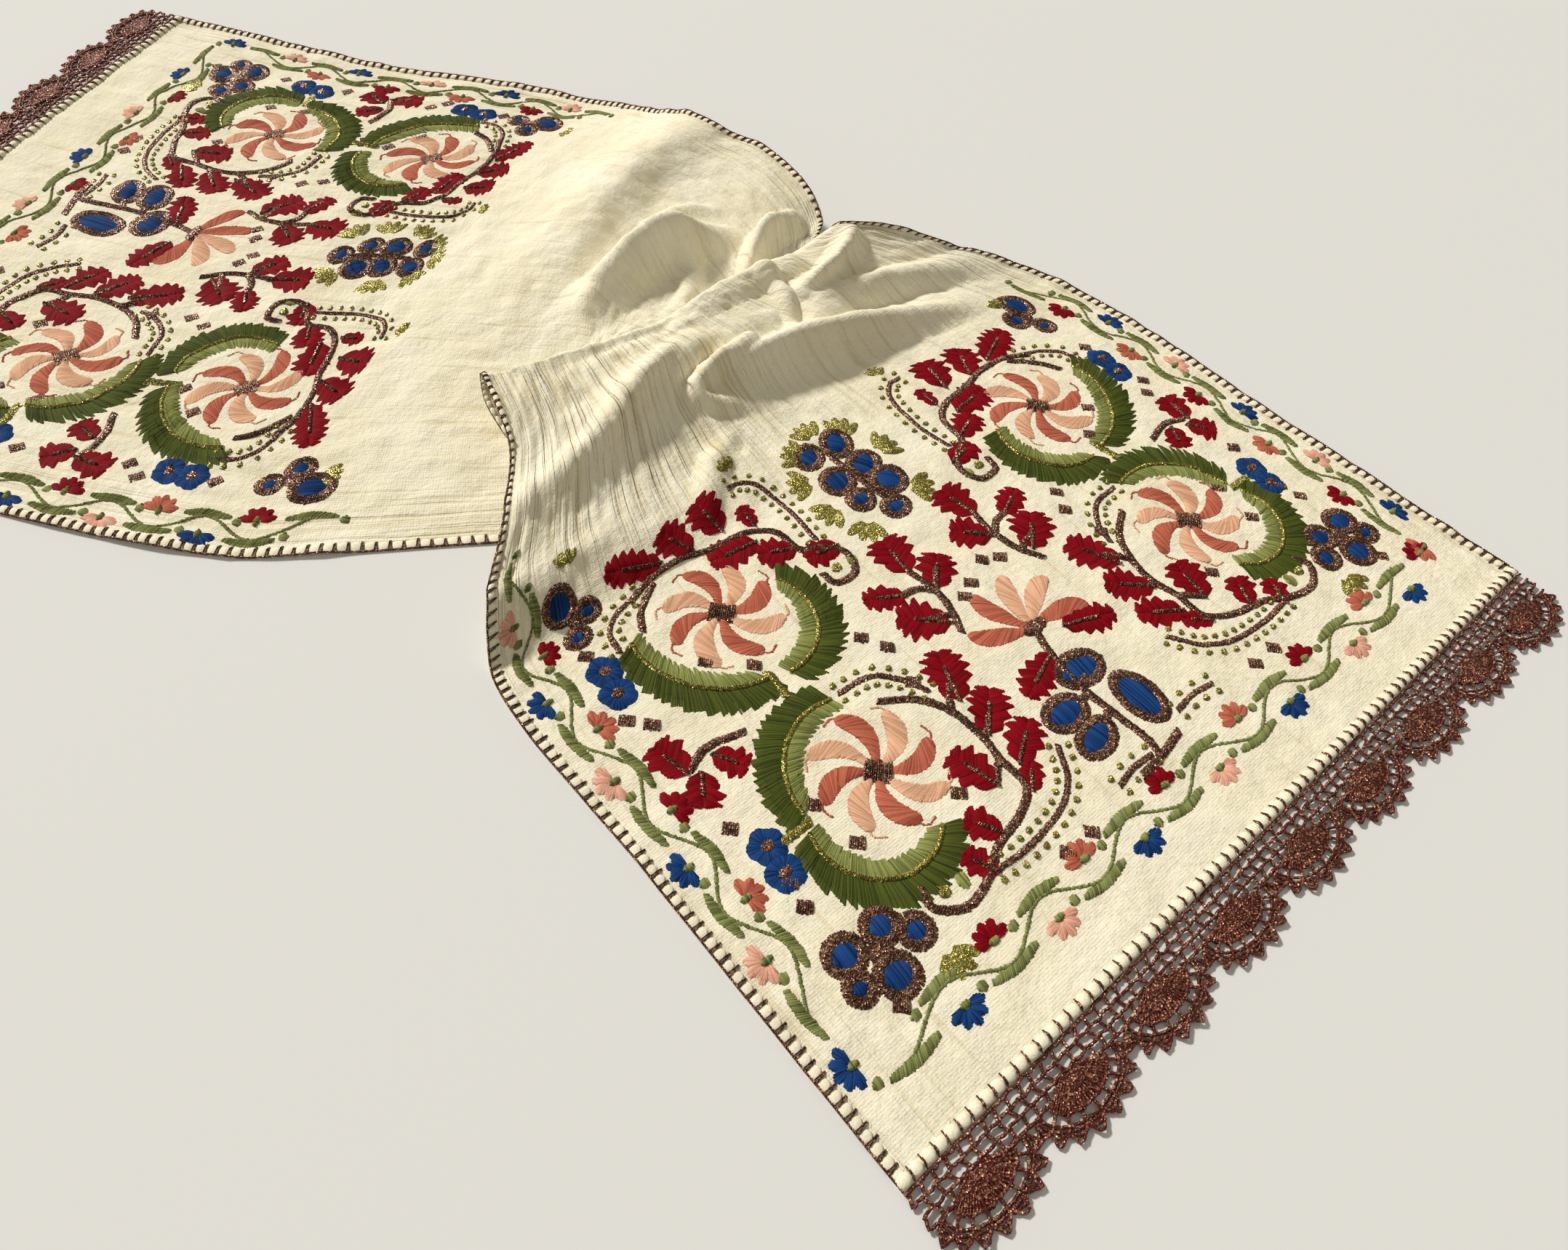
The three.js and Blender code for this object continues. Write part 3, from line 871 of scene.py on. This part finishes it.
def panel_rows(rows):
    """A panel's stitches on the near end and, turned half round, on the far end, a little uneven."""
    both = []
    for turned in (False, True):
        copy = rows.copy()
        copy[:, :4] += rng.normal(0, STITCH_SCATTER, (len(rows), 4))
        if turned:
            copy[:, [0, 2]] = FAR_SHIFT[0] - copy[:, [0, 2]]
            copy[:, [1, 3]] = CLOTH_LENGTH + FAR_SHIFT[1] - copy[:, [1, 3]]
        both.append(copy)
    return np.concatenate(both)


PIECE_NAMES = {
    "crimson": "crimson_leaves",
    "coral": "coral_petals",
    "peach": "peach_petals",
    "pink": "pink_blossoms",
    "blue": "blue_ovals_and_flowers",
    "forest": "dark_green_crescents",
    "leaf_green": "light_green_crescents",
    "sage": "border_vine",
    "gold": "gold_lines_and_dots",
    "bronze": "bronze_stems_and_outlines",
}
for thread, rows in sewn.items():
    mesh = stitch_mesh(PIECE_NAMES[thread], panel_rows(np.concatenate(rows)))
    finish_piece(PIECE_NAMES[thread], mesh, THREADS[thread])


def stitch_rows(*columns):
    """Rows for stitch_mesh from columns, where a single number holds for all rows."""
    return np.column_stack(np.broadcast_arrays(*columns))


# Blanket stitch on the two long sides: leaning pairs and a cord on the rim.
def blanket_rows():
    at = np.arange(2, CLOTH_LENGTH - 2, SIDE_PITCH)
    rows = []
    for side in (-1, 1):
        inset = side * (HALF_WIDTH - rng.uniform(5.2, 6.6, len(at)))
        for lean in (-0.8, 0.8):
            rows.append(stitch_rows(side * HALF_WIDTH, at + lean, inset, at + 0.5 + 0.2 * lean, 0.65, 1.3))
        steps = np.arange(0, CLOTH_LENGTH - RIM_PITCH, RIM_PITCH)
        rim = side * (HALF_WIDTH - 0.3)
        rows.append(stitch_rows(rim - 0.5, steps, rim + 0.5, steps + 2.0, 1.5, 1.2))
    return np.concatenate(rows)


# Pairs of stitches that draw in each hem between its puffs.
def hem_rows():
    at = np.arange(-HALF_WIDTH + HEM_PUFF, HALF_WIDTH - 1, HEM_PUFF)
    rows = []
    for hem, way in ((0.0, 1), (CLOTH_LENGTH, -1)):
        for lean in (0.0, 1.0):
            start, end = hem - way * 0.4, hem + way * (5.6 - lean)
            rows.append(stitch_rows(at, start, at + 0.7 + 0.5 * lean, end, 0.6, 2.2))
    return np.concatenate(rows)


edge_mesh = stitch_mesh("edge_stitching", np.concatenate([blanket_rows(), hem_rows()]))
finish_piece("edge_stitching", edge_mesh, THREADS["bronze"])


# Crocheted edging: chains of thread laid out flat beside the hem.
def chain(points):
    line, _ = curve_through(points, CHAIN_STEP)
    return line


def scallop_paths(middle, depth, pitch):
    """A fan: close spokes, a ring of small holes, a firm rim and a row of pointed teeth."""
    paths = []
    heart = np.array([middle, depth - 5.5])
    half = 0.44 * pitch
    outer = EDGING_DEPTH - depth - 3.2
    turns = np.linspace(-0.96, 0.96, FAN_TEETH + 1)

    def rim(turn, share):
        angle = 0.5 * math.pi * turn
        edge = np.array([middle + half * math.sin(angle), depth + outer * math.cos(angle) ** 0.9])
        return heart + share * (edge - heart)

    def arc(share, widest):
        return chain([rim(turn, share) for turn in np.linspace(-widest, widest, 13)])

    for turn in turns:
        paths.append(chain([rim(turn, 0.7), rim(turn, 1.0)]))
    for turn in np.linspace(-0.84, 0.84, FAN_SPOKES):
        paths.append(chain([rim(turn, 0.12), rim(turn, rng.uniform(0.70, 0.78))]))
    for share in (0.25, 0.4, 0.55, 0.72):
        paths.append(arc(share, 0.84))
    for share in (0.92, 1.0):
        paths.append(arc(share, 0.98))
    for a, b in zip(turns[:-1], turns[1:]):
        for reach in (1.22, 1.10):
            tip = rim(0.5 * (a + b), reach)
            rising, falling = 0.5 * (rim(a, 1.02) + tip), 0.5 * (rim(b, 1.02) + tip)
            paths.append(chain([rim(a, 1.0), rising, tip, falling, rim(b, 1.0)]))
    return paths


def edging_paths(length):
    """Chains of one edging: x along the hem, y outward from it."""
    paths = []
    pitch = length / EDGING_SCALLOPS
    mesh_pitch = pitch / NET_MESHES
    for k, depth in enumerate(NET_ROWS):
        wavy = [(x, depth + 0.4 * math.sin(0.9 * x + k)) for x in np.linspace(0, length, 120)]
        paths.append(chain(wavy))
    for k, (near, far) in enumerate(zip(NET_ROWS, NET_ROWS[1:])):
        shift = 0.5 * mesh_pitch * (k % 2)
        lean = (0.3 if k % 2 else -0.25) * mesh_pitch
        for x in np.arange(0.8 + shift, length - 1, mesh_pitch):
            low, high = rng.normal(0, 0.5, 2)
            paths.append(chain([(x + low, near), (x + lean + high, far)]))
    for i in range(EDGING_SCALLOPS):
        paths.extend(scallop_paths((i + 0.5) * pitch, NET_ROWS[-1], pitch))
    return paths


def crochet(name, corner_from, corner_to, node):
    """An edging beside the hem that runs between two corners of the cloth, outward on its right."""
    hem = corner_to - corner_from
    length = np.linalg.norm(hem[:2])
    ahead = hem[:2] / length
    outward = np.array([ahead[1], -ahead[0]])
    data = bpy.data.curves.new(name, "CURVE")
    data.dimensions = "3D"
    data.bevel_depth = CROCHET_RADIUS * MM
    data.bevel_resolution = 1
    for path in edging_paths(length):
        path = path + rng.normal(0, 0.15, path.shape)
        flat = corner_from[:2] + path[:, :1] * ahead + path[:, 1:] * outward
        high = CROCHET_HEIGHT + 0.3 * np.sin(path[:, 0] * 0.21) + rng.uniform(-0.2, 0.3)
        spline = data.splines.new("POLY")
        spline.points.add(len(path) - 1)
        spline.points.foreach_set("co", np.column_stack([flat * MM, high * MM, np.ones(len(path))]).ravel())
        spline.points.foreach_set("radius", 0.82 + 0.36 * np.abs(np.sin(np.arange(len(path)) * 1.25)))
    curve = bpy.data.objects.new(name + "_curve", data)
    bpy.context.scene.collection.objects.link(curve)
    bpy.context.view_layer.update()
    mesh = bpy.data.meshes.new_from_object(curve.evaluated_get(bpy.context.evaluated_depsgraph_get()))
    bpy.data.objects.remove(curve)
    mesh.name = name
    piece = finish_piece(name, mesh, CROCHET_THREAD)
    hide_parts(node)
    return piece


near_corners = sheet_place[0, 0], sheet_place[0, -1]
far_corners = sheet_place[-1, -1], sheet_place[-1, 0]
crochet("crochet_near", *near_corners, "edging_near")
crochet("crochet_far", *far_corners, "edging_far")


def hem_puffs():
    """The rolled hems: a row of soft puffs drawn in between the hem stitches."""
    ball, ball_faces = small_shape(bmesh.ops.create_uvsphere, u_segments=8, v_segments=5, radius=1.0)
    spots = []
    for across in np.arange(-HALF_WIDTH + 0.5 * HEM_PUFF, HALF_WIDTH, HEM_PUFF):
        for along in (2.4, CLOTH_LENGTH - 2.4):
            spots.append((across, along, 0.56 * HEM_PUFF, 2.9, 1.5))
    for along in np.arange(2 + 0.5 * SIDE_PITCH, CLOTH_LENGTH - 2, SIDE_PITCH):
        for side in (-1, 1):
            spots.append((side * (HALF_WIDTH - 2.6), along, 2.9, 0.54 * SIDE_PITCH, 0.7))
    places = []
    for across, along, half_across, half_along, thick in spots:
        plump = rng.uniform(0.9, 1.12)
        flat = np.array([across, along]) + ball[:, :2] * (half_across * plump, half_along)
        place = on_cloth(flat[:, 0], flat[:, 1], 0.2 + thick * plump * ball[:, 2])
        place[:, 2] = np.maximum(place[:, 2], LOWEST_PUFF)
        places.append(place)
    return joined_copies("hem_puffs", np.array(places), ball_faces)


def plain_cotton():
    """The rolled hem's cotton: cream with a fine grain."""
    material, nodes, links, shader = new_material("rolled_hem_cotton")
    place = nodes.new("ShaderNodeTexCoord")
    grain = add(nodes, "ShaderNodeTexNoise", scale=900.0, detail=3.0)
    links.new(place.outputs["Object"], grain.inputs["Vector"])
    warm_cream, pale_cream = (0.82, 0.74, 0.53), (0.92, 0.87, 0.70)
    tone = ramp_between(nodes, links, grain.outputs["Fac"], warm_cream, pale_cream, 0.3, 0.7)
    links.new(tone, shader.inputs["Base Color"])
    bump = add(nodes, "ShaderNodeBump", strength=0.4, distance=0.0004)
    links.new(grain.outputs["Fac"], bump.inputs["Height"])
    links.new(bump.outputs["Normal"], shader.inputs["Normal"])
    shader.inputs["Roughness"].default_value = 0.88
    return material


def make_cloth():
    """The sheet itself: a grid laid on the fine folds, with its flat cut as its map."""
    shape = bmesh.new()
    bmesh.ops.create_grid(shape, x_segments=len(COLUMNS) - 1, y_segments=len(ROWS) - 1, size=0.5)
    mesh = bpy.data.meshes.new("runner_cloth")
    shape.to_mesh(mesh)
    shape.free()
    mesh.vertices.foreach_set("co", (sheet_place * MM).astype(np.float32).ravel())
    mesh.update()
    corner = np.empty(len(mesh.loops), np.int32)
    mesh.loops.foreach_get("vertex_index", corner)
    cut = np.stack([GRID_ACROSS, GRID_ALONG], -1).reshape(-1, 2) * MM
    layer = mesh.uv_layers.new(name="cut_cloth")
    layer.data.foreach_set("uv", cut[corner].astype(np.float32).ravel())
    # furrow holds the strength of the painted furrow shade: 1 deep in the furrows, faded out just behind
    # the crest. crinkle sets the crinkle bump's strength.
    depth = 1 - smoothstep(0.0, 0.26, furrow_depth(GRID_ALONG, GRID_ACROSS))
    strength = np.minimum(1, crinkle_strength(GRID_ALONG, GRID_ACROSS))
    behind = smoothstep(440, 456, GRID_ALONG) * (1 - smoothstep(500, 560, GRID_ALONG))
    for label, values in (("furrow", depth * strength * (1 - behind)), ("crinkle", strength)):
        layer = mesh.attributes.new(label, "FLOAT", "POINT")
        layer.data.foreach_set("value", values.astype(np.float32).ravel())
    return mesh


finish_piece("hem_puffs", hem_puffs(), plain_cotton())
cloth = finish_piece("runner_cloth", make_cloth(), crinkled_cotton())
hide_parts("cloth")


# The table, lights and camera
FLOOR_HALF = 15.0
SUN_DIRECTION = (0.82, -0.12, -0.62)
SUN_STRENGTH = 3.45
SUN_DEGREES = 7
ROOM_STRENGTH = 0.35


def pale_floor():
    shape = bmesh.new()
    bmesh.ops.create_grid(shape, x_segments=1, y_segments=1, size=FLOOR_HALF)
    mesh = bpy.data.meshes.new("floor")
    shape.to_mesh(mesh)
    shape.free()
    material, _, _, shader = new_material("pale_floor")
    shader.inputs["Base Color"].default_value = (0.74, 0.74, 0.73, 1)
    shader.inputs["Roughness"].default_value = 0.9
    mesh.materials.append(material)
    floor = bpy.data.objects.new("floor", mesh)
    bpy.context.scene.collection.objects.link(floor)


def sun_light():
    data = bpy.data.lights.new("key_light", "SUN")
    data.energy = SUN_STRENGTH
    data.angle = math.radians(SUN_DEGREES)
    data.color = (1.0, 0.97, 0.92)
    light = bpy.data.objects.new("key_light", data)
    light.rotation_euler = Vector(SUN_DIRECTION).to_track_quat("-Z", "Y").to_euler()
    bpy.context.scene.collection.objects.link(light)


def room_light():
    world = bpy.data.worlds.new("room_light")
    world.use_nodes = True
    background = world.node_tree.nodes["Background"]
    background.inputs["Color"].default_value = (1.0, 0.95, 0.82, 1)
    background.inputs["Strength"].default_value = ROOM_STRENGTH
    bpy.context.scene.world = world


# The photo's view: heading and pitch down over the table, a slight roll, and the lens.
CAMERA_PLACE = (239.9, -361.9, 402.9)
HEADING, PITCH, ROLL = 25.6, 54.54, -7.95
PHOTO_WIDTH = 2156
FOCAL_PIXELS = 1447.7
SENSOR_WIDTH = 36


def photo_camera():
    head, pitch, roll = (math.radians(x) for x in (HEADING, PITCH, ROLL))
    level_ahead = Vector((-math.sin(head), math.cos(head), 0))
    forward = level_ahead * math.cos(pitch) + Vector((0, 0, -math.sin(pitch)))
    level = Vector((math.cos(head), math.sin(head), 0))
    down = forward.cross(level)
    right = level * math.cos(roll) + down * math.sin(roll)
    down = -level * math.sin(roll) + down * math.cos(roll)
    data = bpy.data.cameras.new("photo_camera")
    data.sensor_width = SENSOR_WIDTH
    data.lens = SENSOR_WIDTH * FOCAL_PIXELS / PHOTO_WIDTH
    data.clip_start = 0.01
    camera = bpy.data.objects.new("photo_camera", data)
    place = (np.array(CAMERA_PLACE) + PLAN_SHIFT) * MM
    turn = Matrix((right, -down, -forward)).transposed().to_4x4()
    camera.matrix_world = Matrix.Translation(place) @ turn
    bpy.context.scene.collection.objects.link(camera)
    bpy.context.scene.camera = camera


pale_floor()
sun_light()
room_light()
photo_camera()
bpy.context.scene.view_settings.view_transform = "Standard"
